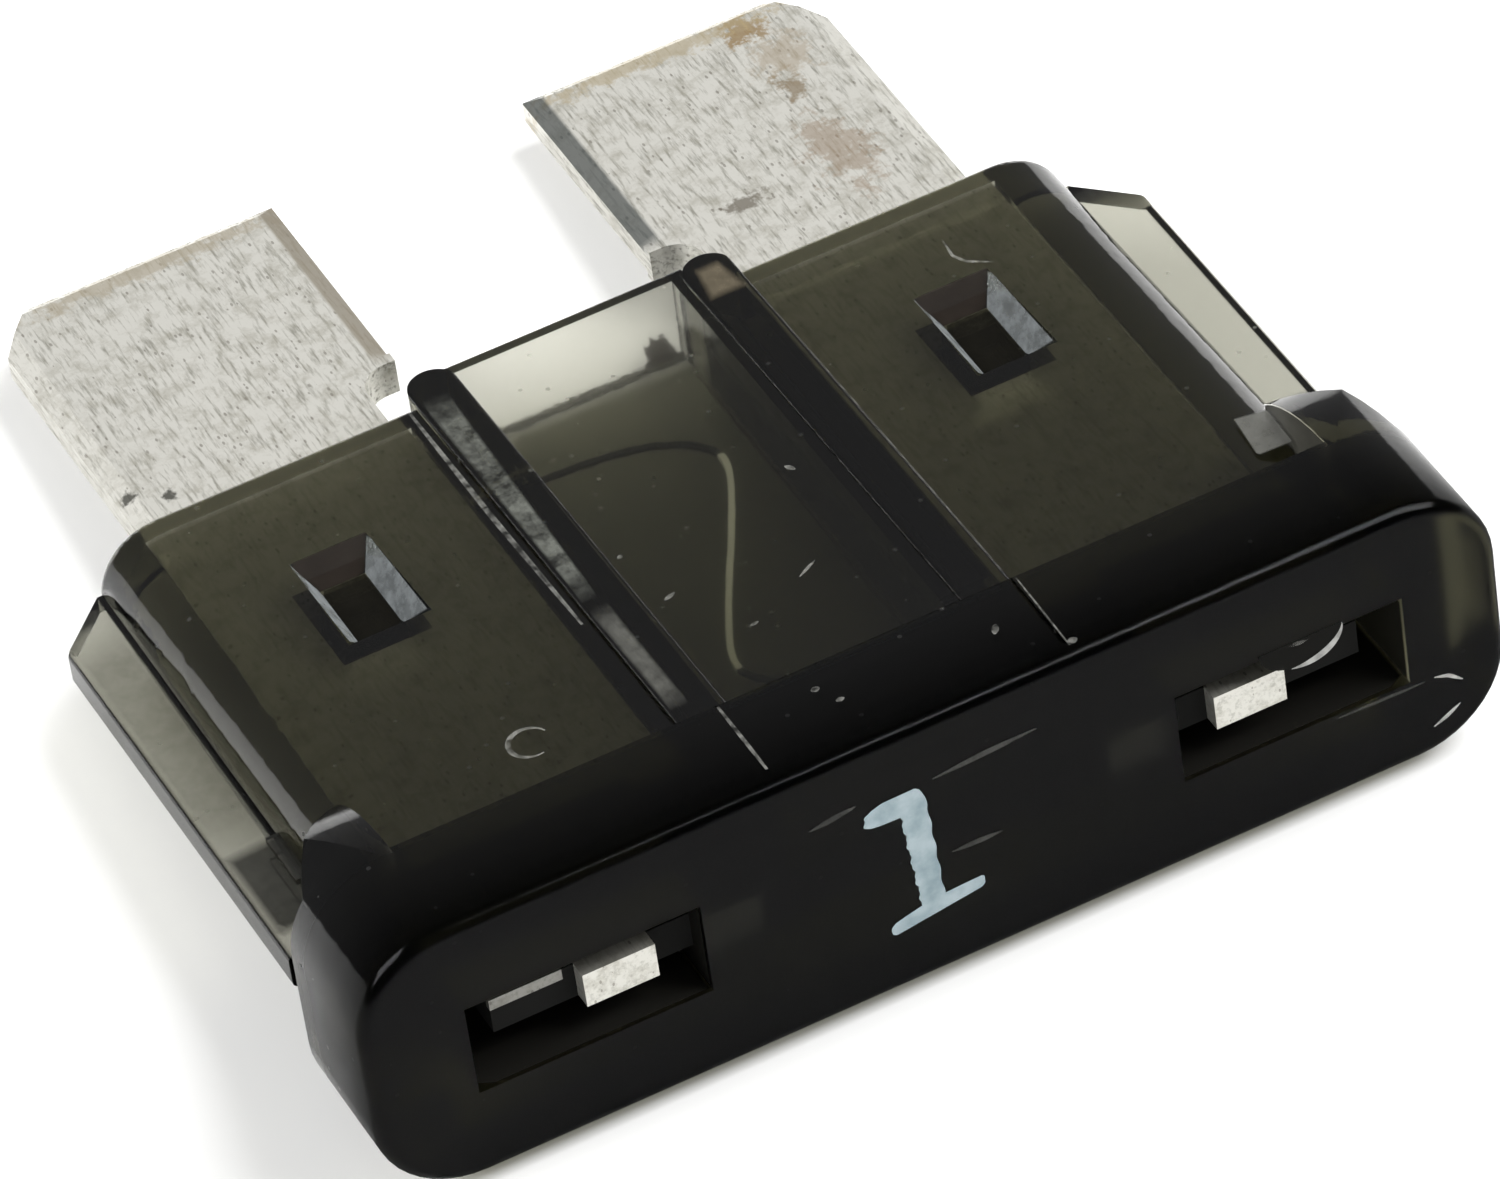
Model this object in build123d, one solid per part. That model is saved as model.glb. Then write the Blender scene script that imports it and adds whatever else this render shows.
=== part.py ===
from build123d import *
import math
import os

os.makedirs("parts", exist_ok=True)

# A plug-in blade fuse of the regular automotive size, lying on one flat side.
# It is drawn on its own mid-plane first: X across the two blades, Y from the rating face
# of the head towards the blade tips, Z across the thickness. Origin: centre of that face.
# At the end everything is turned about X by the angle at which the wedge-shaped housing
# rests on a table, blades down. All lengths in millimetres.

# Head, the thick end that carries the rating
head_w = 19.05            # across the ears
head_t = 5.0              # thickness
head_corner = 1.6         # rounding of the four long edges
head_top = 2.05           # flat depth of the head before its back slopes down
head_edge = 0.2           # rounding of the edges round the rating face
ear_depth = 4.8           # the ears run further back than the middle
ear_round = 4.0           # rounding of their outer back corners, seen from above
ear_ease = 0.2            # their rounding starts this far before the middle's back edge
ear_in = 7.85             # ears start here, from the centre
ear_back_t = 0.7          # thickness of an ear at its rounded back

# Body, a flat block that thins towards the blades
body_w = 16.8
body_end = 12.05          # from the rating face
body_end_t = 2.5          # thickness at the blade end
body_taper = 0.04         # how much each face rises per millimetre towards the head
body_side_r = 1.12        # rounding of its long sides
body_end_r = 0.2

# Thin flange on the mid-plane, along both sides
flange_w = 18.8
flange_t = 0.62
flange_end = 11.85
flange_cut = 0.92         # corner cut off at the blade end
ledge_t = 0.84            # small flat ledge where flange, body and ear meet
ledge_y = (4.33, 5.41)
ledge_x = (7.75, 8.62)

# Middle window and the two ribs beside it
rib_x = (1.97, 2.82)
rib_rise = 0.12           # above the body face
rib_end = 12.56
web_rise = 0.05
web_end = 12.58
label_half = 2.5          # shallow flat on the head between the lines of the ribs
label_deep = 0.06

# Blades, one stamped piece with the link between them
blade_in = 2.24           # inner edge of a bare blade
blade_w = 5.06
blade_t = 0.64
blade_tip = 18.8
tip_cut = (0.75, 0.92)    # outer tip corner, across and along
neck_in = 2.95            # inner edge inside the housing and in the relief notch
notch_end = 14.2
blade_top = 0.5           # the wide part stops this far behind the rating face
tab_x = (4.7, 5.9)        # narrow probe tab that reaches the test window
tab_top = 0.2
coin = 0.3                # width of the pressed bevel along the edges
coin_deep = 0.13
hole_c = (5.38, 8.64)     # anchor hole, and centre of the dimple above it
hole_size = (1.5, 1.9)
post_size = (0.9, 1.2)    # plastic pushed through the anchor hole

# Fine link, an S in the middle window
link_w = 0.1
link_t = 0.08
link_pts = [(-2.95, 10.1), (-1.9, 10.26), (-0.6, 10.2), (0.45, 9.87), (0.98, 9.25), (0.8, 8.45)]
link_mid = (0.0, 6.9)     # the S repeats itself about this point

# Openings
dimple_top = (1.34, 2.24)
dimple_floor = (0.78, 1.4)
dimple_floor_z = 0.93
window_x = (3.98, 7.86)   # test windows in the rating face
window_h = 1.72
window_deep = 2.3
chamber_half = 1.92       # hollow round the link, open at the blade end
chamber_y = (2.9, 13.0)
chamber_h = 1.6
play = 0.04               # moulding clearance round the metal


def half_t(y):
    """Half thickness of the body at a distance from the rating face."""
    return body_end_t / 2 + body_taper * (body_end - y)


def cross(y):
    """Sketch plane across the fuse, its drawing up along Z."""
    return Plane((0, y, 0), x_dir=(1, 0, 0), z_dir=(0, -1, 0))


def block(x, y, z):
    """Box from its three ranges."""
    size = (x[1] - x[0], y[1] - y[0], z[1] - z[0])
    return Pos((x[0] + x[1]) / 2, (y[0] + y[1]) / 2, (z[0] + z[1]) / 2) * Box(*size)


def both(part):
    """The part and its mirror image across the middle."""
    return part + mirror(part, Plane.YZ)


def wedge(x, points):
    """Solid of one side outline (Y, Z) between two X values."""
    face = make_face(Plane.YZ * Polyline(*points, close=True))
    return Pos(x[0], 0, 0) * extrude(face, amount=x[1] - x[0], dir=(1, 0, 0))


def ear_side():
    """Side outline of an ear: full thickness in front, its back rounded off as two quarter ellipses."""
    t, b = head_t / 2, ear_back_t / 2
    y0 = head_top - ear_ease
    reach, drop = ear_depth - y0, t - b
    outline = Polyline((y0, t), (-1, t), (-1, -t), (y0, -t))
    outline += EllipticalCenterArc((y0, b), reach, drop, 0, arc_size=90)
    outline += EllipticalCenterArc((y0, -b), reach, drop, 270, arc_size=90)
    outline += Line((ear_depth, -b), (ear_depth, b))
    return make_face(Plane.YZ * outline)


def head():
    """Rounded block, its back sloping at 45 degrees down to the body, ears running further back."""
    t = head_t / 2
    full = extrude(cross(0) * RectangleRounded(head_w, head_t, head_corner), amount=-ear_depth)
    full = fillet(full.faces().sort_by(Axis.Y)[0].edges(), head_edge)
    run = head_top + t - half_t(head_top)
    mid = wedge((-ear_in, ear_in), [(-1, -t - 1), (-1, t + 1), (head_top, t + 1), (head_top, t),
                                    (run + 0.3, t - run + head_top - 0.3),
                                    (run + 0.3, -t + run - head_top + 0.3),
                                    (head_top, -t), (head_top, -t - 1)])
    ear = Pos(ear_in - 0.01, 0, 0) * extrude(ear_side(), amount=head_w, dir=(1, 0, 0))
    plan = extrude(RectangleRounded(head_w, 2 * ear_depth, ear_round), amount=head_t, both=True)
    front = block((-head_w, head_w), (-1, ear_depth / 2), (-head_t, head_t))
    return full & (mid + both(ear & (plan + front)))


def body():
    """Tapered block with rounded sides, drawn from inside the head to the blade end."""
    y0 = head_top - 0.6
    near = cross(y0) * RectangleRounded(body_w, 2 * half_t(y0), body_side_r)
    far = cross(body_end) * RectangleRounded(body_w, body_end_t, body_side_r)
    solid = loft([near, far])
    return fillet(solid.faces().sort_by(Axis.Y)[-1].edges(), body_end_r)


def flange():
    """Flat plate along both sides with the far corners cut."""
    h = flange_w / 2
    pts = [(-h, 3), (h, 3), (h, flange_end - flange_cut), (h - flange_cut, flange_end),
           (-h + flange_cut, flange_end), (-h, flange_end - flange_cut)]
    plate = extrude(make_face(Polyline(*pts, close=True)), amount=flange_t / 2, both=True)
    plate = fillet(plate.edges().filter_by(Axis.Y), 0.1)
    ledge = block(ledge_x, ledge_y, (-ledge_t / 2, ledge_t / 2))
    return plate + both(ledge)


def sloped_bar(x, end, rise, side_r):
    """Bar between two X values whose faces follow the taper of the body, set off by a rise."""
    y0 = head_top + 0.2
    a, b = half_t(y0) + rise, half_t(end) + rise
    bar = wedge(x, [(y0, -a), (y0, a), (end, b), (end, -b)])
    if side_r:
        long_edges = [e for e in bar.edges() if e.length > 8]
        bar = fillet(long_edges, side_r)
    return bar


def ribs():
    """Two low ribs, their ends rounded in plan."""
    bar = sloped_bar(rib_x, rib_end, rib_rise, 0.08)
    r = (rib_x[1] - rib_x[0]) / 2
    cx, cy = sum(rib_x) / 2, rib_end - r
    keep = block((rib_x[0] - 1, rib_x[1] + 1), (0, cy), (-3, 3))
    keep = keep + Pos(cx, cy, 0) * Cylinder(r, 6)
    return both(bar & keep)


def dimple():
    """Sloped-wall pit over the anchor hole, both faces."""
    z1 = half_t(hole_c[1]) + 0.12
    grow = (z1 - dimple_floor_z) / (half_t(hole_c[1]) - dimple_floor_z)
    top = [f + (t - f) * grow for t, f in zip(dimple_top, dimple_floor)]
    pit = loft([Plane((*hole_c, dimple_floor_z)) * Rectangle(*dimple_floor),
                Plane((*hole_c, z1)) * Rectangle(*top)])
    return both(pit + mirror(pit, Plane.XY))


def blade_outline(grow):
    """Outline of the right blade, grown by the clearance for its pocket."""
    g = grow
    outer = blade_in + blade_w
    return [(neck_in - g, blade_top - g), (tab_x[0] - g, blade_top - g), (tab_x[0] - g, tab_top),
            (tab_x[1] + g, tab_top), (tab_x[1] + g, blade_top - g), (outer + g, blade_top - g),
            (outer + g, blade_tip - tip_cut[1]), (outer - tip_cut[0], blade_tip),
            (blade_in - g, blade_tip), (blade_in - g, notch_end), (neck_in - g, notch_end)]


def pockets():
    """All the space inside the housing: metal pockets, test windows and the link chamber."""
    h = blade_t / 2 + play
    slot = block((neck_in - play, blade_in + blade_w + play), (blade_top - play, blade_tip), (-h, h))
    post = block((hole_c[0] - post_size[0] / 2, hole_c[0] + post_size[0] / 2),
                 (hole_c[1] - post_size[1] / 2, hole_c[1] + post_size[1] / 2), (-h, h))
    window = block(window_x, (-1, window_deep), (-window_h / 2, window_h / 2))
    room = block((-chamber_half, chamber_half), chamber_y, (-chamber_h / 2, chamber_h / 2))
    g = link_w / 2 + 0.15
    gate_y = link_pts[0][1]
    gate = block((-neck_in, -chamber_half + 0.1), (gate_y - g, gate_y + g + 0.12),
                 (-link_t / 2 - play, link_t / 2 + play))
    gate = gate + Rot(Z=180) * (Pos(0, -2 * link_mid[1], 0) * gate)
    return both(slot - post + window) + room + gate


def housing():
    """One moulded piece: head, tapered body, flange, ribs and web, less every opening."""
    web = sloped_bar((-rib_x[0] - 0.1, rib_x[0] + 0.1), web_end, web_rise, 0)
    web = fillet(web.faces().sort_by(Axis.Y)[-1].edges().filter_by(Axis.X), 0.12)
    solid = head() + body() + flange() + ribs() + web
    z = head_t / 2
    label = block((-label_half, label_half), (0.35, head_top + 0.05), (z - label_deep, z + 1))
    return solid - label - dimple() - pockets()


def blade():
    """Right blade: relief notch, cut tip, pressed bevels and anchor hole."""
    face = make_face(Polyline(*blade_outline(0), close=True))
    solid = extrude(face, amount=blade_t / 2, both=True)
    corner = [e for e in solid.edges().filter_by(Axis.Z)
              if abs(e.center().X - neck_in) < 0.01 and abs(e.center().Y - notch_end) < 0.01]
    solid = fillet(corner, 0.5)
    x1, y1 = blade_in + blade_w, blade_tip
    for s in (1, -1):
        t, d = s * blade_t / 2, s * (blade_t / 2 - coin_deep)
        far = s * (blade_t / 2 + 0.5)
        k = coin * (0.5 + coin_deep) / coin_deep - coin
        inner = [(blade_in - 0.01, d), (blade_in + coin, t), (blade_in + coin + k, far),
                 (blade_in - 0.01, far)]
        outer = [(x1 + 0.01, d), (x1 - coin, t), (x1 - coin - k, far), (x1 + 0.01, far)]
        for pts, y0 in ((inner, notch_end + 0.2), (outer, body_end + 0.6)):
            tool = make_face(cross(y0) * Polyline(*pts, close=True))
            solid = solid - extrude(tool, amount=10, dir=(0, 1, 0))
        tip = [(y1 + 0.01, d), (y1 - coin * 0.7, t), (y1 - coin * 0.7 - k, far), (y1 + 0.01, far)]
        solid = solid - wedge((0, 12), tip)
    hole = Pos(*hole_c, 0) * Box(*hole_size, 2)
    return solid - hole


def link():
    """Fine S strip, swept flat along a smooth line from blade to blade."""
    back = [(2 * link_mid[0] - x, 2 * link_mid[1] - y) for x, y in reversed(link_pts)]
    path = Spline(*(link_pts + back))
    start = Plane(origin=path @ 0, z_dir=path % 0)
    strip = sweep(start * Rectangle(link_t, link_w), path=path)
    a = strip.bounding_box().size
    if a.Z > link_t * 1.1:
        strip = sweep(start * Rectangle(link_w, link_t), path=path)
    return strip


def element():
    """The whole metal piece."""
    ends = [block((-neck_in - 0.2, -neck_in + 0.12), (link_pts[0][1] - 0.2, link_pts[0][1] + 0.2),
                  (-link_t / 2, link_t / 2))]
    ends.append(Rot(Z=180) * (Pos(0, -2 * link_mid[1], 0) * ends[0]))
    return both(blade()) + link() + ends[0] + ends[1]


# Angle of rest: the lower back edge of the head and the ends of the ribs touch the table
rest = math.degrees(math.atan((head_t / 2 - half_t(rib_end) - rib_rise) / (rib_end - head_top)))

for name, shape in (("housing", housing()), ("element", element())):
    solids = shape.solids()
    assert len(solids) == 1, (name, len(solids))
    part = Rot(X=-rest) * solids[0]
    part.label = name
    export_step(part, "parts/" + name + ".step")
    box = part.bounding_box()
    print(name, "volume", round(part.volume, 2), "box", box.min, box.max)
print("angle of rest", round(rest, 3))
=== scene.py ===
import bpy
import math
import numpy as np
from mathutils import Matrix, Vector


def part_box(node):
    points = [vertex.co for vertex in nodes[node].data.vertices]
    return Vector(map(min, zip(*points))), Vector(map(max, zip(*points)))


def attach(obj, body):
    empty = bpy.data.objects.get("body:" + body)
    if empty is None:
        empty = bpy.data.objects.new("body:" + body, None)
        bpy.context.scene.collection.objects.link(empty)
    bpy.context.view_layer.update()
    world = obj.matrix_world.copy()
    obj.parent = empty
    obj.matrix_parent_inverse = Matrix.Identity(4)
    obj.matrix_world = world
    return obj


# %% [markdown]
# A plug-in blade fuse, dressed for a studio picture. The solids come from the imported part: a smoky
# plastic housing and one stamped piece of metal. This lesson gives them their finish, prints the
# rating on the head and adds the small marks that handling leaves. The solids are never moved, so
# everything made here is placed in their frame, in metres.

# %% Load the part
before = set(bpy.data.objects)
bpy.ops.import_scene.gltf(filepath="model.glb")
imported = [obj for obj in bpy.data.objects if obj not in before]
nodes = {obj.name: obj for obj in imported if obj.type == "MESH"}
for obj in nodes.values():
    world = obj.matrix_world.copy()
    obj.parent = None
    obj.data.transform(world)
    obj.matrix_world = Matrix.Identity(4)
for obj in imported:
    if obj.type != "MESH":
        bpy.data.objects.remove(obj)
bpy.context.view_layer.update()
floor_z = min(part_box(name)[0].z for name in nodes)
print("lowest point of the part, mm:", round(floor_z * 1000, 3))

# %% [markdown]
# The housing thins towards the blades, so the fuse lies on a table a little nose-down. Its own axes
# (x across the blades, y from the rating face to the blade tips, z through the thickness) are turned
# about x by the angle of rest. A helper takes points in those axes and millimetres to the frame.

# %% From the fuse's own axes to the frame
REST = math.radians(6.247)
MM = 0.001


def laid(points):
    """Turn by the angle of rest about x: y' = y cos + z sin, z' = z cos - y sin, then mm to metres."""
    p = np.asarray(points, float)
    c, s = math.cos(REST), math.sin(REST)
    x, y, z = p[..., 0], p[..., 1], p[..., 2]
    return np.stack([x, y * c + z * s, z * c - y * s], -1) * MM


# %% [markdown]
# The photograph was taken from a low distance with a long lens: the fuse's edges stay almost
# parallel. A camera is a place, a direction and a roll, so it is built from those as three axes,
# worked out in the fuse's own axes and then laid down with it. The lens follows from the size of
# the fuse in the frame.

# %% Camera
azimuth, height, roll = (math.radians(a) for a in (-21.1, 41.98, -8.86))
aim, distance = np.array([0.123, 6.627, 0.0]), 171.56
away = np.array([math.sin(azimuth) * math.cos(height), -math.cos(azimuth) * math.cos(height),
                 math.sin(height)])
level = np.array([math.cos(azimuth), math.sin(azimuth), 0.0])
upright = np.cross(away, level)
right = level * math.cos(roll) + upright * math.sin(roll)
up = upright * math.cos(roll) - level * math.sin(roll)
turn = np.eye(4)
turn[:3, :3] = (laid([right, up, away]) / MM).T
turn[:3, 3] = laid(aim + away * distance)
camera = bpy.data.objects.new("camera", bpy.data.cameras.new("camera"))
camera.data.lens, camera.data.sensor_width, camera.data.clip_start = 270.4, 36, 0.01
camera.matrix_world = Matrix(turn.tolist())
bpy.context.scene.collection.objects.link(camera)
bpy.context.scene.camera = camera
print("camera stands at, mm:", np.round(turn[:3, 3] * 1000, 1))

# %% [markdown]
# Every new piece is a sheet of points on a grid with two parameters. One helper turns such a grid
# into a mesh: the points row by row, and a four-sided face between each pair of rows.

# %% Grid to mesh


def surface(name, grid, material):
    """Mesh of a grid of points (rows, columns, 3): face k joins points k, k+1 and the two above."""
    rows, cols = grid.shape[:2]
    i, j = np.meshgrid(np.arange(rows - 1), np.arange(cols - 1), indexing="ij")
    a = (i * cols + j).ravel()
    faces = np.stack([a, a + 1, a + cols + 1, a + cols], 1)
    mesh = bpy.data.meshes.new(name)
    mesh.from_pydata(grid.reshape(-1, 3).tolist(), [], faces.tolist())
    mesh.materials.append(material)
    mesh.shade_smooth()
    piece = bpy.data.objects.new(name, mesh)
    bpy.context.scene.collection.objects.link(piece)
    return piece


# %% [markdown]
# Shader helpers. A material is a small tree of nodes; `put` adds one node and fills in its sockets
# by name, either with a plain value or with a wire from another node. `group` opens an empty node
# group with named inputs and outputs, so that an effect is drawn once and used with other values.

# %% Node helpers


def put(tree, kind, outlet=0, settings=None, **sockets):
    """Add a node, set its settings and sockets (underscores stand for spaces), return one outlet."""
    node = tree.nodes.new(kind)
    for key, value in (settings or {}).items():
        setattr(node, key, value)
    for key, value in sockets.items():
        name = key.replace("_", " ")
        socket = node.inputs[int(name[3:])] if name.startswith("in ") else node.inputs[name]
        if isinstance(value, bpy.types.NodeSocket):
            tree.links.new(value, socket)
        else:
            socket.default_value = value
    return node.outputs[outlet]


def math_node(tree, operation, a, b=0.0, clamp=False):
    return put(tree, "ShaderNodeMath", settings={"operation": operation, "use_clamp": clamp},
               in_0=a, in_1=b)


def ramp(tree, value, low, high, to_low=0.0, to_high=1.0):
    """Straight line between two values, held at both ends."""
    return put(tree, "ShaderNodeMapRange", Value=value, From_Min=low, From_Max=high,
               To_Min=to_low, To_Max=to_high)


def blend(tree, share, a, b):
    """Colour a where share is 0 and colour b where it is 1."""
    node = tree.nodes.new("ShaderNodeMix")
    node.data_type = "RGBA"
    for socket, value in ((node.inputs[0], share), (node.inputs[6], a), (node.inputs[7], b)):
        if isinstance(value, bpy.types.NodeSocket):
            tree.links.new(value, socket)
        else:
            socket.default_value = value
    return node.outputs[2]


def group(name, inputs, outputs):
    """Empty node group: inputs and outputs are (name, kind, default) and (name, kind)."""
    tree = bpy.data.node_groups.new(name, "ShaderNodeTree")
    for label, kind, default in inputs:
        socket = tree.interface.new_socket(label, in_out="INPUT", socket_type="NodeSocket" + kind)
        if default is not None:
            socket.default_value = default
    for label, kind in outputs:
        tree.interface.new_socket(label, in_out="OUTPUT", socket_type="NodeSocket" + kind)
    return tree, tree.nodes.new("NodeGroupInput").outputs, tree.nodes.new("NodeGroupOutput").inputs


def use(tree, effect, outlet=0, **sockets):
    node = tree.nodes.new("ShaderNodeGroup")
    node.node_tree = effect
    for key, value in sockets.items():
        socket = node.inputs[key.replace("_", " ")]
        if isinstance(value, bpy.types.NodeSocket):
            tree.links.new(value, socket)
        else:
            socket.default_value = value
    return node.outputs[outlet]


# %% [markdown]
# Patterns follow the fuse's own axes in millimetres, so a streak runs along a blade and a stain
# stays where it was seen. Object coordinates are in the frame, and a Mapping node turns them back
# by the angle of rest and scales metres up to millimetres.

# %% Effect: own axes
own_axes, _, outs = group("own_axes", [], [("Vector", "Vector")])
spot = put(own_axes, "ShaderNodeTexCoord", outlet=3)
own_axes.links.new(put(own_axes, "ShaderNodeMapping", Vector=spot, Rotation=(REST, 0, 0),
                       Scale=(1000, 1000, 1000)), outs["Vector"])

# %% [markdown]
# Streaks are noise drawn out along one direction: rolling lines in the metal, flow lines in the
# plastic. The coordinates are stretched before the noise is read, which is simpler than a wave
# pattern and never repeats.

# %% Effect: streaks
streaks, ins, outs = group("streaks", [("Vector", "Vector", None), ("Across", "Float", 8.0),
                                       ("Along", "Float", 0.5), ("Low", "Float", 0.4),
                                       ("High", "Float", 0.65)], [("Mask", "Float")])
scale = put(streaks, "ShaderNodeCombineXYZ", X=ins["Across"], Y=ins["Along"], Z=ins["Across"])
drawn = put(streaks, "ShaderNodeVectorMath", settings={"operation": "MULTIPLY"},
            in_0=ins["Vector"], in_1=scale)
noise = put(streaks, "ShaderNodeTexNoise", Vector=drawn, Scale=1.0, Detail=4.0, Roughness=0.6)
streaks.links.new(ramp(streaks, noise, ins["Low"], ins["High"]), outs["Mask"])

# %% [markdown]
# Specks are the small pits in old metal and the dust on plastic: a cell pattern, kept only where a
# point lies close to the middle of its cell and only in some of the cells.

# %% Effect: specks
specks, ins, outs = group("specks", [("Vector", "Vector", None), ("Scale", "Float", 3.0),
                                     ("Size", "Float", 0.12), ("Share", "Float", 0.3)],
                          [("Mask", "Float")])
cells = specks.nodes.new("ShaderNodeTexVoronoi")
specks.links.new(ins["Vector"], cells.inputs["Vector"])
specks.links.new(ins["Scale"], cells.inputs["Scale"])
near = math_node(specks, "LESS_THAN", cells.outputs["Distance"], ins["Size"])
pick = put(specks, "ShaderNodeSeparateColor", Color=cells.outputs["Color"])
some = math_node(specks, "LESS_THAN", pick, ins["Share"])
specks.links.new(math_node(specks, "MULTIPLY", near, some), outs["Mask"])

# %% [markdown]
# A stain has a middle, a reach in each direction and a ragged edge. Its distance from the middle is
# measured in reaches, noise is added, and the result fades from one inside to nought outside. The
# noise comes in from outside, so that all stains share one and the picture takes less time.

# %% Effect: ragged stain
stain, ins, outs = group("ragged_stain", [("Vector", "Vector", None), ("Middle", "Vector", (0, 0, 0)),
                                          ("Reach", "Vector", (1, 1, 1)), ("Rag", "Float", 0.8),
                                          ("Noise", "Float", 0.5)], [("Mask", "Float")])
off = put(stain, "ShaderNodeVectorMath", settings={"operation": "SUBTRACT"},
          in_0=ins["Vector"], in_1=ins["Middle"])
off = put(stain, "ShaderNodeVectorMath", settings={"operation": "DIVIDE"}, in_0=off, in_1=ins["Reach"])
far = put(stain, "ShaderNodeVectorMath", outlet=1, settings={"operation": "LENGTH"}, in_0=off)
noise = math_node(stain, "MULTIPLY", math_node(stain, "SUBTRACT", ins["Noise"], 0.5),
                  math_node(stain, "MULTIPLY", ins["Rag"], 4.0))
stain.links.new(ramp(stain, math_node(stain, "ADD", far, noise), 1.15, 0.55), outs["Mask"])

# %% [markdown]
# The metal is plated zinc, stamped and a little tarnished: a dull grey-white with rolling streaks
# along the blades, fine dark pits, brownish stains towards one tip and darker pressed bevels.
# A fully metallic surface would mirror the pale room and lose all of that. So it is made partly
# metal and partly matt, because the dull coat scatters most of the light. The colour is built up
# in layers over the bare coat, and each layer has its own mask: streaks, which are stronger on the
# part of a blade that stands out of the housing, then clouds of tarnish, pits and stains.

# %% Plated zinc: coat, streaks and stains
COAT, STREAK = (0.61, 0.60, 0.55, 1), (0.17, 0.165, 0.135, 1)
TARNISH, PIT = (0.30, 0.285, 0.23, 1), (0.16, 0.145, 0.12, 1)
HOUSING_END = 12.4
zinc = bpy.data.materials.new("zinc_satin")
zinc.use_nodes = True
tree = zinc.node_tree
skin = tree.nodes["Principled BSDF"]
here = use(tree, own_axes)
axes_mm = tree.nodes.new("ShaderNodeSeparateXYZ")
tree.links.new(here, axes_mm.inputs[0])
across, along, through = axes_mm.outputs
fine = use(tree, streaks, Vector=here, Across=15.0, Along=2.0, Low=0.5, High=0.68)
cloud = put(tree, "ShaderNodeTexNoise", Vector=here, Scale=2.6, Detail=5.0, Roughness=0.75)
in_the_open = ramp(tree, along, HOUSING_END, HOUSING_END + 0.4, 0.35, 0.8)
colour = blend(tree, math_node(tree, "MULTIPLY", fine, in_the_open), COAT, STREAK)
colour = blend(tree, ramp(tree, cloud, 0.47, 0.7, 0.0, 0.6), colour, TARNISH)
squeezed = put(tree, "ShaderNodeVectorMath", settings={"operation": "MULTIPLY"}, in_0=here,
               in_1=(1.7, 0.8, 1.0))
pits = use(tree, specks, Vector=squeezed, Scale=5.5, Size=0.2, Share=0.4)
colour = blend(tree, math_node(tree, "MULTIPLY", pits, 0.6), colour, PIT)
STAINS = [((5.95, 18.25, 0), (0.35, 0.4, 2), (0.26, 0.16, 0.05, 1), 0.8),
          ((5.95, 16.55, 0), (0.22, 0.4, 2), (0.20, 0.14, 0.07, 1), 0.7),
          ((6.2, 17.4, 0), (0.5, 0.6, 2), (0.34, 0.27, 0.18, 1), 0.5),
          ((5.9, 14.7, 0), (0.5, 1.0, 2), (0.27, 0.19, 0.12, 1), 0.55),
          ((4.05, 14.4, 0), (0.4, 0.2, 2), (0.12, 0.10, 0.07, 1), 0.75),
          ((4.6, 18.5, 0), (2.6, 0.25, 2), (0.40, 0.33, 0.20, 1), 0.6),
          ((-4.6, 18.5, 0), (2.6, 0.25, 2), (0.36, 0.31, 0.22, 1), 0.6),
          ((-7.1, 13.7, 0), (0.14, 0.16, 2), (0.05, 0.05, 0.04, 1), 0.9),
          ((-6.55, 13.35, 0), (0.12, 0.14, 2), (0.05, 0.05, 0.04, 1), 0.9)]
rough_edge = put(tree, "ShaderNodeTexNoise", Vector=here, Scale=4.5, Detail=4.0, Roughness=0.7)
for middle, reach, tint, strength in STAINS:
    mask = use(tree, stain, Vector=here, Middle=middle, Reach=reach, Rag=0.95, Noise=rough_edge)
    colour = blend(tree, math_node(tree, "MULTIPLY", mask, strength), colour, tint)
print("stains on the metal:", len(STAINS))

# %% [markdown]
# The rest of the colour follows the shape of the metal, so its masks are made from the fuse's own
# axes. The pressed bevels between the blades get painted shade, a dark painted reflection on the right.
# Inside the head the metal is painted in deep shade, apart from the tabs in the test windows and a
# strip of the left shoulder that catches some light. The link is painted dark in its bends and has a
# painted glint along its straight middle. Shaded metal is also rougher, so that it mirrors nothing.

# %% Plated zinc: bevels, shade and link
LEFT_BEVEL_SHADE, RIGHT_BEVEL_SHADE = (0.22, 0.19, 0.14, 1), (0.035, 0.045, 0.045, 1)
BURIED, LINK_BEND_SHADE, LINK_GLINT = (0.012, 0.012, 0.011, 1), (0.02, 0.02, 0.018, 1), (1.0, 1.0, 0.95, 1)
BEVEL_FROM, BEVEL_INNER, BEVEL_TOP = 14.2, 2.5, 0.185
TAB_X, TAB_HALF, TAB_END = 5.3, 0.601, 0.62
SHOULDER_X, SHOULDER_TOP, SHOULDER_LIT, SHADE_END = -6.1, 0.12, 0.45, 2.5
LINK_REACH, LINK_Y, LINK_STRAIGHT = 1.95, 6.9, 2.3
edge = math_node(tree, "ABSOLUTE", across)
inner = math_node(tree, "MULTIPLY", ramp(tree, edge, BEVEL_INNER + 0.06, BEVEL_INNER),
                  ramp(tree, along, BEVEL_FROM, BEVEL_FROM + 0.4))
inner = math_node(tree, "MULTIPLY", inner, math_node(tree, "GREATER_THAN", through, BEVEL_TOP))
right_side = math_node(tree, "GREATER_THAN", across, 0.0)
# painted shade on the inner bevels, darkest on the right blade
colour = blend(tree, math_node(tree, "MULTIPLY", inner, 0.8), colour,
               blend(tree, right_side, LEFT_BEVEL_SHADE, RIGHT_BEVEL_SHADE))
lit = math_node(tree, "MULTIPLY", math_node(tree, "LESS_THAN", across, SHOULDER_X),
                math_node(tree, "GREATER_THAN", through, SHOULDER_TOP))
from_tab = math_node(tree, "ABSOLUTE", math_node(tree, "SUBTRACT", edge, TAB_X))
tab = math_node(tree, "LESS_THAN", from_tab, TAB_HALF)
shown = math_node(tree, "MULTIPLY",
                  math_node(tree, "MAXIMUM", math_node(tree, "MULTIPLY", lit, SHOULDER_LIT), tab),
                  math_node(tree, "LESS_THAN", along, TAB_END))
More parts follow.
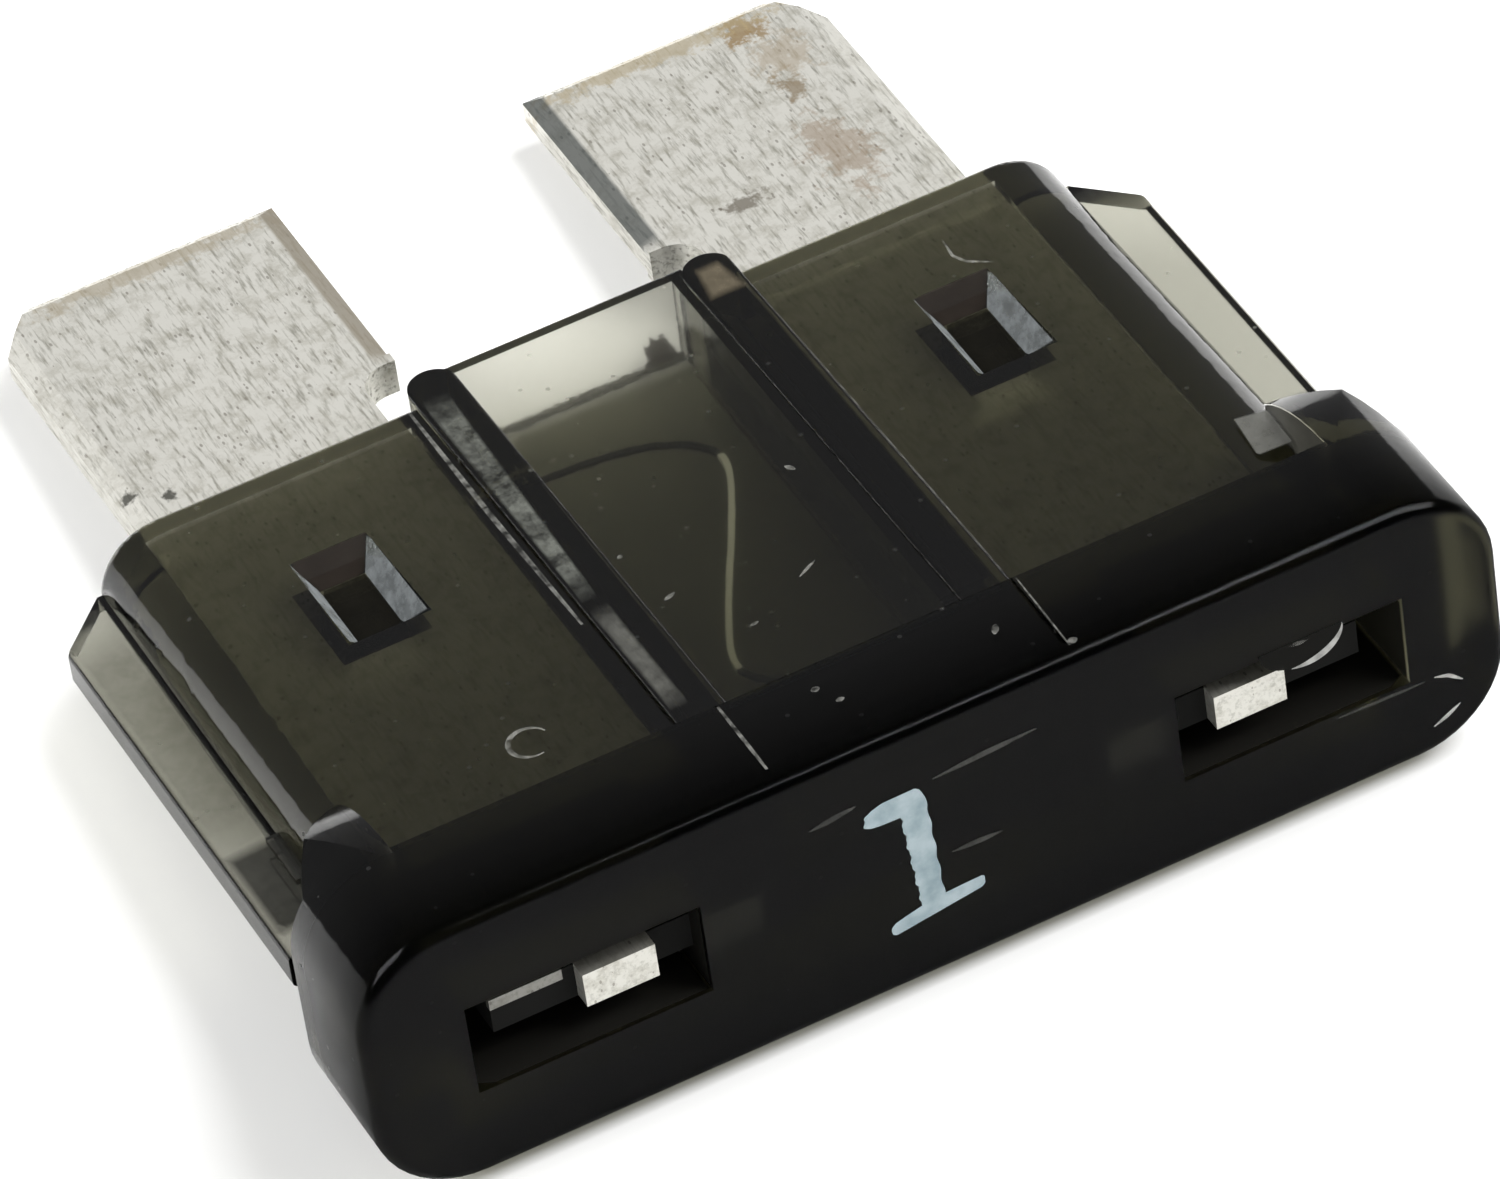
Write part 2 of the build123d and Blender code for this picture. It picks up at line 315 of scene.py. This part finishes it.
buried = math_node(tree, "MULTIPLY", ramp(tree, along, SHADE_END, SHADE_END - 0.3),
                   math_node(tree, "SUBTRACT", 1.0, shown))
# painted deep shade on the metal inside the head
colour = blend(tree, buried, colour, BURIED)
link = ramp(tree, edge, LINK_REACH, LINK_REACH - 0.05)
from_middle = math_node(tree, "ABSOLUTE", math_node(tree, "SUBTRACT", along, LINK_Y))
straight = math_node(tree, "LESS_THAN", from_middle, LINK_STRAIGHT)
# painted shade in the link's bends and a painted glint along its straight middle
colour = blend(tree, link, colour, blend(tree, straight, LINK_BEND_SHADE, LINK_GLINT))
tree.links.new(colour, skin.inputs["Base Color"])
skin.inputs["Metallic"].default_value = 0.55
tree.links.new(math_node(tree, "MAXIMUM", ramp(tree, fine, 0, 1, 0.36, 0.52), buried),
               skin.inputs["Roughness"])
tree.links.new(put(tree, "ShaderNodeBump", Height=pits, Strength=-0.35, Distance=0.00002),
               skin.inputs["Normal"])

# %% [markdown]
# The housing is tinted clear plastic. Nothing is painted on it: the colour comes from how much of
# it the light crosses, so thin walls show pale and olive, the metal shines through, and the solid
# head is almost black. A Volume Absorption node does that, and the surface is a plain smooth
# dielectric. The rating face came from a finely textured mould and hardly mirrors, so part of the
# surface there, less of it further back, is a shader that only refracts, and roughly at that. A
# glass surface would also cast a hard black shadow, so shadow rays see it as tinted film.

# %% Smoky plastic
GLASS_IOR, SMOKE, SMOKE_DENSITY = 1.5, (0.20, 0.19, 0.045, 1), 1500.0
FACE_END, HEAD_END, MATT_AT_FACE, MATT_BEHIND = 0.15, 2.4, 0.85, 0.1
plastic = bpy.data.materials.new("plastic_smoke")
plastic.use_nodes = True
tree = plastic.node_tree
skin, out = tree.nodes["Principled BSDF"], tree.nodes["Material Output"]
here = use(tree, own_axes)
skin.inputs["Base Color"].default_value = (1, 1, 1, 1)
skin.inputs["IOR"].default_value = GLASS_IOR
skin.inputs["Transmission Weight"].default_value = 1.0
skin.inputs["Specular IOR Level"].default_value = 0.08
dust = use(tree, specks, Vector=here, Scale=2.4, Size=0.09, Share=0.3)
tree.links.new(ramp(tree, dust, 0, 1, 0.08, 0.5), skin.inputs["Roughness"])
grain = put(tree, "ShaderNodeTexNoise", Vector=here, Scale=5.0, Detail=1.0)
tree.links.new(put(tree, "ShaderNodeBump", Height=grain, Strength=0.25, Distance=0.000006),
               skin.inputs["Normal"])
tint = tree.nodes.new("ShaderNodeVolumeAbsorption")
tint.inputs["Color"].default_value = SMOKE
tint.inputs["Density"].default_value = SMOKE_DENSITY
tree.links.new(tint.outputs["Volume"], out.inputs["Volume"])
unmirrored = put(tree, "ShaderNodeBsdfRefraction", Color=(1, 1, 1, 1), Roughness=0.3,
                 IOR=GLASS_IOR)
depth = tree.nodes.new("ShaderNodeSeparateXYZ")
tree.links.new(here, depth.inputs[0])
dull = ramp(tree, depth.outputs[1], FACE_END, HEAD_END, MATT_AT_FACE, MATT_BEHIND)
seen = put(tree, "ShaderNodeMixShader", in_0=dull, in_1=skin.outputs["BSDF"], in_2=unmirrored)
tinted_shadow = put(tree, "ShaderNodeBsdfTransparent", Color=(0.55, 0.55, 0.5, 1))
shadow_ray = put(tree, "ShaderNodeLightPath", outlet=1)
tree.links.new(put(tree, "ShaderNodeMixShader", in_0=shadow_ray, in_1=seen, in_2=tinted_shadow),
               out.inputs["Surface"])

# %% [markdown]
# Both solids stay as they were packed. Each gets its material.

# %% Dress the solids
for name, material, slot in (("housing", plastic, "smoky_plastic"), ("element", zinc, "plated_zinc")):
    solid = nodes[name]
    solid.data.materials.clear()
    solid.data.materials.append(material)
    print(name, "has", len(solid.data.polygons), "triangles")

# %% [markdown]
# The rating is printed on the head in pale blue-grey: a figure one with a flag and a foot. It is a
# strip of paint, so its sheet is read row by row: at each height the paint runs from a left edge to
# a right edge. Two lists give those edges, straight lines join them, and a small ripple makes the
# border look stamped. The stamp was set a little askew: the figure leans back, and its foot climbs
# to the right more than its flag does.

# %% Rating figure
heights = [-1.26, -1.21, -1.07, -1.02, -0.97, 0.90, 0.93, 1.00, 1.20, 1.28, 1.33]
left_edge = [-1.02, -1.10, -1.10, -1.04, -0.56, -0.59, -1.06, -1.16, -1.16, -1.02, -0.80]
right_edge = [0.42, 0.50, 0.50, 0.44, -0.17, -0.14, -0.14, -0.15, -0.17, -0.20, -0.27]
LEAN, CLIMB, CLIMB_LESS, PIVOT, PROUD = 0.06, 0.085, 0.05, -0.35, 0.012
paint = bpy.data.materials.new("print_pale_blue")
paint.use_nodes = True
tree = paint.node_tree
worn = put(tree, "ShaderNodeTexNoise", Vector=use(tree, own_axes), Scale=2.2, Detail=4.0)
tree.links.new(blend(tree, ramp(tree, worn, 0.38, 0.66), (0.36, 0.44, 0.47, 1), (0.21, 0.29, 0.32, 1)),
               tree.nodes["Principled BSDF"].inputs["Base Color"])
tree.nodes["Principled BSDF"].inputs["Roughness"].default_value = 0.6


def figure_grid():
    """Row z runs from left to right edge; x' = x - lean z, z' = z + (climb - less z) (x - pivot)."""
    z = np.linspace(heights[0], heights[-1], 90)[:, None]
    left = np.interp(z, heights, left_edge) + 0.015 * np.sin(17 * z) + 0.01 * np.sin(41 * z)
    right = np.interp(z, heights, right_edge) + 0.015 * np.sin(13 * z + 1)
    x = left + (right - left) * np.linspace(0, 1, 24)[None, :]
    return np.stack([x - LEAN * z, np.full_like(x, -PROUD),
                     z + (CLIMB - CLIMB_LESS * z) * (x - PIVOT)], -1)


figure = surface("rating_figure", laid(figure_grid()), paint)
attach(figure, "root")
print("rating figure, mm high:", round(heights[-1] - heights[0], 2))

# %% [markdown]
# Handling leaves marks on such plastic: a chip or two, the round witness of an ejector pin. Thin
# bright lines along some edges are painted highlights. Cut into the surface these would cost many
# faces for nothing that shows at this size.
# So each is a narrow ribbon that follows a path just above the surface, wider in the middle than
# at its ends. The path gives the direction, and the ribbon is laid to both sides of it.

# %% Mark and highlight finish


def mark_and_glint_finish(name, colour, least, most):
    """Dull pale mark, also used for painted highlights, that covers the plastic by a share between least
    and most.
    """
    material = bpy.data.materials.new(name)
    material.use_nodes = True
    tree = material.node_tree
    patchy = put(tree, "ShaderNodeTexNoise", Vector=use(tree, own_axes), Scale=6.0, Detail=3.0)
    skin = tree.nodes["Principled BSDF"]
    skin.inputs["Base Color"].default_value = (*colour, 1)
    skin.inputs["Roughness"].default_value = 0.5
    tree.links.new(ramp(tree, patchy, 0.35, 0.65, least, most), skin.inputs["Alpha"])
    return material


# real marks and painted highlights on edges share this finish
mark_and_highlight = mark_and_glint_finish("marks_and_highlights", (0.24, 0.24, 0.22), 0.05, 0.55)
glint = mark_and_glint_finish("glint_on_edge", (0.42, 0.42, 0.40), 0.6, 0.95)
faint = mark_and_glint_finish("faint_line", (0.045, 0.045, 0.038), 0.3, 0.65)


def body_face(x, y):
    """Height of the tapered body's face: half of 2.5 mm at 12.05, rising 0.04 mm for each mm back."""
    return 1.25 + 0.04 * (12.05 - y) + 0 * x


def rib_face(x, y):
    return body_face(x, y) + 0.12


def head_face(x, y):
    return 2.5 + 0 * x + 0 * y


def ribbon(name, path, width, face, material=mark_and_highlight, lift=0.012, steps=40, end=0.25):
    """Path resampled by length; a point moves sideways by v width / 2 (end + (1 - end) sin(pi u)).

    The path is (x, y) on a face that looks up, or (x, z) on the rating face when face is None.
    """
    path = np.asarray(path, float)
    run = np.r_[0, np.cumsum(np.hypot(*np.diff(path, axis=0).T))]
    u = np.linspace(0, 1, steps)
    x, y = (np.interp(u * run[-1], run, path[:, k]) for k in (0, 1))
    ahead = np.stack([np.gradient(x), np.gradient(y)], 1)
    ahead /= np.linalg.norm(ahead, axis=1)[:, None]
    v = np.linspace(-1, 1, 5)[None, :]
    half = (width / 2 * (end + (1 - end) * np.sin(np.pi * u)))[:, None]
    X, Y = x[:, None] - ahead[:, 1:] * v * half, y[:, None] + ahead[:, :1] * v * half
    if face is None:
        grid = np.stack([X, np.full_like(X, -lift), Y], -1)
    else:
        grid = np.stack([X, Y, face(X, Y) + lift], -1)[:, ::-1]
    piece = surface(name, laid(grid), material)
    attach(piece, "root")
    return piece


def fleck(name, x, y, width, size, heading, face):
    """Short ribbon of a given length about (x, y), turned by its heading in degrees."""
    turned = math.radians(heading)
    step = np.array([math.cos(turned), math.sin(turned)]) * size / 2
    ribbon(name, [np.array([x, y]) - step, np.array([x, y]) + step], width, face, steps=8)


# %% [markdown]
# The marks are placed where they were seen: the ring on the left panel, a chip beside the right
# pit, painted highlights along both rib edges and the lines that go on over the head. The flecks lie
# on the web between the ribs, which is a little higher than the body, and on the head.

# %% Marks on the housing
RING, RING_R = (-4.79, 3.84), 0.33


def web_face(x, y):
    return body_face(x, y) + 0.05


angle = np.radians(np.linspace(20, 285, 30))
ring = np.stack([RING[0] + RING_R * np.cos(angle), RING[1] + RING_R * np.sin(angle)], 1)
MARKS = [("pin_witness", ring, 0.09, body_face, 0.25),
         ("panel_chip", [(5.77, 10.72), (5.72, 10.30), (5.82, 10.06), (6.19, 9.77)], 0.06, body_face,
          0.25),
         # painted highlights along the edges of the ribs
         ("rib_edge_highlight_right", [(2.83, 11.9), (2.84, 8.0), (2.84, 3.2)], 0.03, body_face, 0.6),
         ("rib_edge_highlight_left", [(-2.95, 12.0), (-2.98, 8.8), (-2.95, 5.8)], 0.09, body_face, 0.5),
         ("head_line_right", [(2.55, 2.0), (2.52, 0.25)], 0.03, head_face, 0.7),
         ("head_line_left", [(-2.45, 2.0), (-2.45, 0.4)], 0.06, head_face, 0.7)]
for name, path, width, face, end in MARKS:
    ribbon(name, path, width, face, end=end)
FLECKS = [("fleck_a", 1.28, 7.17, 0.10, 0.20, 120, web_face),
          ("fleck_b", 0.42, 4.9, 0.06, 0.42, 30, web_face),
          ("fleck_c", -1.80, 6.82, 0.09, 0.12, 40, web_face),
          ("fleck_d", -1.59, 5.55, 0.09, 0.22, 20, web_face),
          ("fleck_e", -0.82, 4.23, 0.07, 0.16, 10, web_face),
          ("head_fleck_a", 1.76, 1.18, 0.12, 0.22, 60, head_face),
          ("head_fleck_b", 2.6, 0.32, 0.14, 0.16, 0, head_face),
          ("head_fleck_c", -1.07, 1.53, 0.12, 0.14, 0, head_face),
          ("head_fleck_d", -0.86, 1.13, 0.1, 0.14, 0, head_face)]
for row in FLECKS:
    fleck(*row)
print("marks and flecks:", len(MARKS) + len(FLECKS))

# %% [markdown]
# Rough and pale places, and places of painted shade, are made as films: thin matt sheets that lie
# on the plastic and let some of it through. A film is patchy where noise thins it and fades out
# towards its border. For that, each point of the sheet keeps its distance from the border as a
# number, and the material reads it. A flat film needs only four corners: the point at (u, v) is
# their weighted mean.

# %% Films


def film_finish(name, colour, cover, patchy=0.3, soft=0.02):
    """Matt film that covers the plastic by `cover`, less in its patches and towards its border."""
    material = bpy.data.materials.new(name)
    material.use_nodes = True
    tree = material.node_tree
    skin = tree.nodes["Principled BSDF"]
    mottle = put(tree, "ShaderNodeTexNoise", Vector=use(tree, own_axes), Scale=3.0, Detail=4.0,
                 Roughness=0.7)
    border = put(tree, "ShaderNodeAttribute", outlet=2, settings={"attribute_name": "border"})
    skin.inputs["Base Color"].default_value = (*colour, 1)
    skin.inputs["Roughness"].default_value = 0.9
    skin.inputs["Specular IOR Level"].default_value = 0.0
    patches = ramp(tree, mottle, 0.35, 0.65, cover * (1 - patchy), cover)
    tree.links.new(math_node(tree, "MULTIPLY", patches, ramp(tree, border, 0.0, soft)),
                   skin.inputs["Alpha"])
    return material


def sheet(name, grid, material):
    """Piece from a grid in the fuse's own axes; each point keeps border = min(u, 1-u, v, 1-v)."""
    piece = surface(name, laid(grid), material)
    v, u = np.meshgrid(*(np.linspace(0, 1, n) for n in grid.shape[:2]), indexing="ij")
    border = piece.data.attributes.new("border", "FLOAT", "POINT")
    border.data.foreach_set("value", np.minimum(np.minimum(u, 1 - u), np.minimum(v, 1 - v)).ravel())
    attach(piece, "root")
    return piece


def film(name, corners, material, steps=14):
    """Bilinear sheet: (1-u)(1-v) A + u(1-v) B + u v C + (1-u) v D."""
    a, b, c, d = (np.asarray(p, float) for p in corners)
    u, v = np.meshgrid(np.linspace(0, 1, steps), np.linspace(0, 1, steps))
    u, v = u[..., None], v[..., None]
    grid = (1 - u) * (1 - v) * a + u * (1 - v) * b + u * v * c + (1 - u) * v * d
    return sheet(name, grid, material)


# %% [markdown]
# The two pits over the anchor holes have sloping walls left rough by the tool, so they catch light
# where the polished faces around them do not. In the photograph the two walls along the fuse are
# frosted, and the far one and the floor are in shade, so they get dark films of painted shade.
# Every pit gets the same films, above and below.

# %% Walls of the pits
frosted = film_finish("frosted_wall", (0.20, 0.215, 0.22), 0.9, 0.55)
shaded = film_finish("shaded_wall", (0.03, 0.024, 0.02), 0.75)
dark = film_finish("pit_floor_shade", (0.008, 0.0075, 0.006), 0.95)
PIT_X, PIT_Y, PIT_TOP, PIT_LOW, PIT_Z = 5.38, 8.64, (0.67, 1.12), (0.39, 0.70), 0.93
OFF_WALL, UNDER_RIM = 0.012, 0.004
CORNERS = ((-1, -1), (1, -1), (1, 1), (-1, 1))
# the far wall and the floor of each pit are dark films of painted shade
for side, hand in ((1, "right"), (-1, "left")):
    for face, facing in ((1, "top"), (-1, "under")):
        rim = [(side * PIT_X + sx * (PIT_TOP[0] - OFF_WALL), PIT_Y + sy * (PIT_TOP[1] - OFF_WALL),
                face * (float(body_face(0, PIT_Y + sy * PIT_TOP[1])) - UNDER_RIM)) for sx, sy in CORNERS]
        bed = [(side * PIT_X + sx * (PIT_LOW[0] - OFF_WALL), PIT_Y + sy * (PIT_LOW[1] - OFF_WALL),
                face * (PIT_Z + OFF_WALL)) for sx, sy in CORNERS]
        tag = hand + "_" + facing
        film("pit_wall_a_" + tag, [rim[1], rim[2], bed[2], bed[1]], frosted)
        film("pit_wall_b_" + tag, [rim[3], rim[0], bed[0], bed[3]], frosted)
        film("pit_wall_c_" + tag, [rim[2], rim[3], bed[3], bed[2]], shaded)
        film("pit_floor_shade_" + tag, bed, dark)
print("pit floor, mm:", 2 * PIT_LOW[0], "by", 2 * PIT_LOW[1])

# %% [markdown]
# The walls of the test windows get near-black films of painted shade, so that no light comes through
# them: from outside each window is a black box with the bright end of the metal in it.

# %% Walls of the test windows
# near-black film of painted shade on every window wall
window_shade = film_finish("window_wall_shade", (0.012, 0.0115, 0.01), 0.97, 0.0)
W_X, W_FRONT, W_DEEP, W_H, W_OFF = (3.98, 7.86), 0.04, 2.3, 0.86, 0.01
for side, hand in ((1, "right"), (-1, "left")):
    a, b = side * W_X[0], side * W_X[1]
    for tag, x in (("inner", a + side * W_OFF), ("outer", b - side * W_OFF)):
        film("window_%s_%s" % (tag, hand), [(x, W_FRONT, -W_H), (x, W_DEEP, -W_H), (x, W_DEEP, W_H),
                                            (x, W_FRONT, W_H)], window_shade)
    for tag, z in (("floor", W_OFF - W_H), ("roof", W_H - W_OFF)):
        film("window_%s_%s" % (tag, hand), [(a, W_FRONT, z), (b, W_FRONT, z), (b, W_DEEP, z),
                                            (a, W_DEEP, z)], window_shade)
print("test window, mm:", round(W_X[1] - W_X[0], 2), "by", 2 * W_H)

# %% [markdown]
# The rating face has its own marks. A dark tongue of painted shade hangs into the right window from
# its upper edge, half an ellipse with a painted glint along its rim. Thin lines cross the face; the
# one by the right window is a painted reflection. Two short painted glints sit at the rounded corner
# beside that window.

# %% Marks on the rating face
TONGUE_X, TONGUE_Z, TONGUE_W, TONGUE_H, TONGUE_PROUD = 6.12, 0.95, 0.72, 0.53, 0.006


def tongue_grid():
    """Half ellipse: from the level z0 down to z0 - h sqrt(1 - t^2), where x = x0 + w t."""
    t = np.linspace(-0.995, 0.995, 40)[None, :]
    u = np.linspace(0, 1, 8)[:, None]
    z = TONGUE_Z - TONGUE_H * np.sqrt(1 - t ** 2) * u
    x = TONGUE_X + TONGUE_W * t + 0 * u
    return np.stack([x, np.full_like(x, -TONGUE_PROUD), z], -1)


# dark tongue of painted shade in the right window
sheet("window_tongue", tongue_grid(),
      film_finish("tongue_shade", (0.012, 0.012, 0.011), 0.97, 0.0, 0.001))
angle = np.radians(np.linspace(-105, -4, 24))
rim = np.stack([TONGUE_X + TONGUE_W * np.cos(angle), TONGUE_Z + TONGUE_H * np.sin(angle)], 1)
# the tongue's rim and the corner glints are painted highlights, the window line a painted reflection
FACE_MARKS = [("tongue_rim_glint", rim, 0.13, glint, 0.1),
              ("tongue_mark", [(5.93, 0.90), (6.24, 0.87)], 0.08, mark_and_highlight, 0.25),
              ("corner_glint_a", [(8.26, -0.96), (8.5, -1.04), (8.74, -1.24)], 0.07, glint, 0.25),
              ("corner_glint_b", [(8.18, -1.94), (8.42, -1.83), (8.66, -1.69)], 0.08, glint, 0.25),
              ("window_reflection_line", [(8.10, -0.97), (7.33, -0.95), (6.60, -0.93)], 0.07, faint, 0.25),
              ("face_line_left", [(-2.1, 1.38), (-1.32, 1.48)], 0.11, faint, 0.25),
              ("face_line_right", [(-0.05, 1.36), (0.8, 1.42), (1.7, 1.46)], 0.11, faint, 0.25),
              ("face_line_low", [(0.1, -0.21), (0.95, -0.23)], 0.10, faint, 0.25)]
for name, path, width, material, end in FACE_MARKS:
    ribbon(name, path, width, None, material, end=end)
print("marks on the rating face:", len(FACE_MARKS))

# %% [markdown]
# A few flat places on the housing get pale films: a small ledge beside the right ear, the top of the
# left rib in two lengths, and the end of the right rib. The flange is painted in deep shade where it
# runs in under an ear, and so is the inner side of each ear; a thin film of painted shade darkens the
# left flange. All are films of the same kind, just above the surface. The ears' backs are rounded
# as a quarter ellipse, so the film on their inner side ends on that curve.

# %% Ledges and rib tops
pale = film_finish("pale_rib_top", (0.10, 0.10, 0.09), 0.75, 0.5, 0.2)
ledge = film_finish("pale_ledge", (0.115, 0.115, 0.105), 0.95, 0.25, 0.05)
grey_rib_top = film_finish("grey_rib_top", (0.13, 0.135, 0.12), 0.75, 0.9, 0.15)
painted_flange_shade = film_finish("flange_painted_shade", (0.05, 0.05, 0.036), 0.36, 0.3, 0.15)
beige = film_finish("beige_end", (0.10, 0.085, 0.06), 0.85, 0.3, 0.2)
shadowed = film_finish("shadowed_foot", (0.02, 0.02, 0.018), 0.93, 0.05, 0.12)
dusky = film_finish("dusky_side", (0.035, 0.034, 0.03), 0.96, 0.05)
FLANGE_TOP, RIB_LIFT = 0.325, 0.01
EAR_X, EAR_DEPTH, EAR_FROM, EAR_BACK, EAR_TOP = 7.85, 4.8, 1.85, 0.35, 2.5
SIDE_OFF, SIDE_FROM, SIDE_TO, SIDE_LOW = 0.015, 0.05, 4.05, 1.1


def on_flange(points):
    return [(x, y, FLANGE_TOP) for x, y in points]


def on_rib(points):
    return [(x, y, float(rib_face(x, y)) + RIB_LIFT) for x, y in points]


def ear_side_grid(side):
    """Upright sheet, from a low level up to b + (t - b) sqrt(1 - ((y - y0) / (y1 - y0))^2)."""
    y = np.linspace(EAR_FROM + SIDE_FROM, SIDE_TO, 24)[None, :]
    share = (y - EAR_FROM) / (EAR_DEPTH - EAR_FROM)
    top = EAR_BACK + (EAR_TOP - EAR_BACK) * np.sqrt(1 - share ** 2) - RIB_LIFT
    z = SIDE_LOW + np.linspace(0, 1, 16)[:, None] * (top - SIDE_LOW)
    return np.stack([np.full(z.shape, side * (EAR_X - SIDE_OFF)), y + 0 * z, z], -1)


# painted shade on the flange where it runs in under each ear
for side, hand in ((1, "right"), (-1, "left")):
    foot = [(side * x, y) for x, y in ((7.95, 3.4), (9.36, 3.4), (9.36, 5.5), (7.95, 5.6))]
    film("ear_foot_" + hand, on_flange(foot), shadowed)
# painted shade on the left flange
film("flange_shade_left", on_flange([(-8.44, 5.6), (-9.38, 5.6), (-9.38, 11.2), (-8.44, 11.2)]), painted_flange_shade)
# painted shade on the inner side of each ear
for side, hand in ((1, "right"), (-1, "left")):
    sheet("ear_side_" + hand, ear_side_grid(side), dusky)
film("ledge_right", [(7.36, 4.2, 1.62), (7.80, 3.87, 1.84), (7.80, 3.05, 1.78), (7.24, 3.2, 1.66)],
     ledge)
film("rib_top_near", on_rib([(-2.78, 3.1), (-2.45, 3.1), (-2.45, 5.95), (-2.80, 5.9)]), pale)
film("rib_top_far", on_rib([(-2.78, 6.1), (-2.50, 6.1), (-2.28, 11.9), (-2.76, 11.9)]), grey_rib_top)
film("rib_end_pale", on_rib([(2.04, 11.4), (2.76, 11.4), (2.62, 12.3), (2.18, 12.3)]), beige)
print("inner side of an ear, mm high in front:", round(float(np.ptp(ear_side_grid(1)[:, 0, 2])), 2))

# %% [markdown]
# The window room is open at the blade end, and the lower lip of that opening is ragged. A dark
# brown strip of painted shade lies along it and reaches furthest at one corner. It is a strip whose
# inner edge is straight and whose outer edge is a sum of short waves.

# %% Painted shade on the lower lip
LIP_HALF, LIP_Y, LIP_Z, CORNER_FROM, CORNER_DEEP = 1.88, 12.5, -0.84, 1.42, 0.6


def strip_grid():
    """Strip from y0 to y0 + reach(x): short waves, and a step 1 / (1 + e^-(x - x0)) at the corner."""
    s = np.linspace(0, 1, 6)[:, None]
    x = np.linspace(-LIP_HALF, LIP_HALF, 140)[None, :]
    reach = 0.05 + 0.025 * np.sin(19 * x) * np.sin(7 * x + 1) + 0.02 * np.sin(43 * x)
    reach = reach + CORNER_DEEP / (1 + np.exp(-(x - CORNER_FROM) / 0.06))
    reach = reach + 0.06 * np.sin(31 * x) * (x > CORNER_FROM - 0.07)
    return np.stack([x + 0 * s, LIP_Y + s * reach, LIP_Z + 0 * s + 0 * x], -1)


# dark brown strip of painted shade along the ragged lip
shade_paint = bpy.data.materials.new("lip_shade_brown")
shade_paint.use_nodes = True
shade_paint.node_tree.nodes["Principled BSDF"].inputs["Base Color"].default_value = (0.03, 0.025, 0.018, 1)
strip_piece = surface("lip_shade_strip", laid(strip_grid()), shade_paint)
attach(strip_piece, "root")
print("lip shade strip, mm wide:", 2 * LIP_HALF)

# %% [markdown]
# A plain pale sheet lies under the fuse, matt so that it shows only a soft shadow. It is a flat
# grid at the height of the fuse's lowest point, and it counts as stage, not as part of the fuse.

# %% Floor
paper = bpy.data.materials.new("pale_paper")
paper.use_nodes = True
skin = paper.node_tree.nodes["Principled BSDF"]
skin.inputs["Base Color"].default_value = (0.88, 0.88, 0.87, 1)
skin.inputs["Roughness"].default_value = 0.9
skin.inputs["Specular IOR Level"].default_value = 0.1
HALF_FLOOR = 0.5
x, y = np.meshgrid(np.linspace(-HALF_FLOOR, HALF_FLOOR, 9), np.linspace(-HALF_FLOOR, HALF_FLOOR, 9))
floor = surface("floor", np.stack([x, y, np.full_like(x, floor_z)], -1), paper)

# %% [markdown]
# The light is soft and comes from two large panels. The key stands high on the right and a little in
# front. It lights the flat metal but is out of the direction in which the flat faces would mirror
# it. The fill stands behind on the left and shines through the thin walls of that side. A dim even
# surround is all that the dark head mirrors.

# %% Light
LIT_SPOT = (0, 0.008, 0)


def panel(name, place, width, length, power):
    """Rectangular soft light that faces the fuse."""
    lamp = bpy.data.lights.new(name, "AREA")
    lamp.shape, lamp.size, lamp.size_y, lamp.energy = "RECTANGLE", width, length, power
    holder = bpy.data.objects.new(name, lamp)
    facing = (Vector(LIT_SPOT) - Vector(place)).to_track_quat("-Z", "Y").to_matrix().to_4x4()
    holder.matrix_world = Matrix.Translation(place) @ facing
    bpy.context.scene.collection.objects.link(holder)


panel("key", (0.22, -0.03, 0.28), 0.28, 0.28, 2.2)
panel("fill_left", (-0.26, 0.12, 0.22), 0.24, 0.24, 1.4)
surround = bpy.data.worlds.new("surround")
surround.use_nodes = True
surround.node_tree.nodes["Background"].inputs["Color"].default_value = (0.27, 0.27, 0.275, 1)
bpy.context.scene.world = surround
bpy.context.scene.view_settings.view_transform = "Standard"
